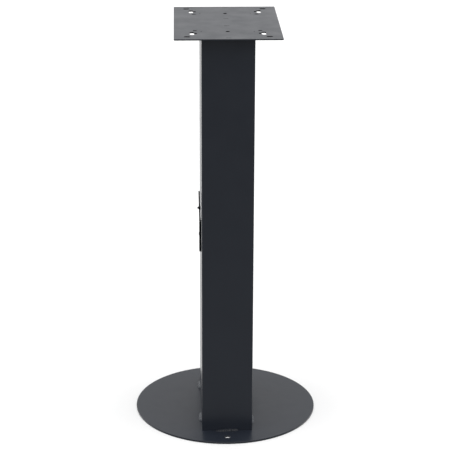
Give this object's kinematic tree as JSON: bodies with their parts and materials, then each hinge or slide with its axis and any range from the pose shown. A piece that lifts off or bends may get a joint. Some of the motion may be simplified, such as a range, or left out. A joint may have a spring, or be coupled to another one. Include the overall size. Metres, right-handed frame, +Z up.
{
  "type": "equipment pedestal stand",
  "caption": "Floor pedestal: round foot plate, deep rectangular sheet-steel column with a lockable side door, and a slotted carrier plate on top for a device.",
  "frame": {"origin": "centre of the foot plate's underside", "axes": "+Z up the column, -Y the front, -X the side with the service door"},
  "size_m": [0.4579, 0.458, 1.004],
  "materials": {
    "powder_coat": "satin anthracite powder coat, fine texture",
    "handle_coat": "satin black coat on die-cast zinc",
    "zinc_steel": "bright zinc plated",
    "black_steel": "black oxide",
    "nylon": "natural nylon",
    "foam_rubber": "closed-cell foam"
  },
  "bodies": {
    "stand": {"base_plate": "powder_coat", "column_shell": "powder_coat", "top_plate": "powder_coat", "top_rib_front": "powder_coat", "top_rib_rear": "powder_coat", "foot_welds": "powder_coat", "head_welds": "powder_coat", "lock_jamb": "powder_coat", "door_seal": "foam_rubber", "hinge_bracket_bottom": "powder_coat", "hinge_bracket_top": "powder_coat", "hinge_pin_bottom": "zinc_steel", "hinge_pin_top": "zinc_steel", "hinge_washer": "nylon"},
    "door": {"door_panel": "powder_coat", "door_stiffener": "powder_coat", "door_bush_bottom": "nylon", "door_bush_top": "nylon", "handle_rosette": "handle_coat", "rosette_nut": "zinc_steel"},
    "handle": {"handle_hub": "handle_coat", "hub_screw": "black_steel", "handle_spindle": "zinc_steel", "cam_tongue": "zinc_steel", "cam_washer": "zinc_steel", "cam_nut": "zinc_steel", "lever_pin": "zinc_steel"},
    "lever": {"handle_lever": "handle_coat"},
    "lock": {"thumb_turn": "handle_coat", "thumb_clip": "zinc_steel"}
  },
  "joints": [
    {"name": "door_swing", "type": "hinge", "parent": "stand", "child": "door", "pos_m": [-0.053, 0.1388, 0.5025], "axis": [0, 0, -1], "range_deg": [0, 90]},
    {"name": "handle_turn", "type": "hinge", "parent": "door", "child": "handle", "pos_m": [-0.0625, -0.098, 0.503], "axis": [-1, 0, 0], "range_deg": [0, 90]},
    {"name": "lever_lift", "type": "hinge", "parent": "handle", "child": "lever", "pos_m": [-0.066, -0.098, 0.5387], "axis": [0, -1, 0], "range_deg": [-1.3, 40]},
    {"name": "thumb_turn_lock", "type": "hinge", "parent": "lever", "child": "lock", "pos_m": [-0.06676, -0.098, 0.56969], "axis": [-0.9997, 0, -0.0244], "range_deg": [0, 90]}
  ]
}
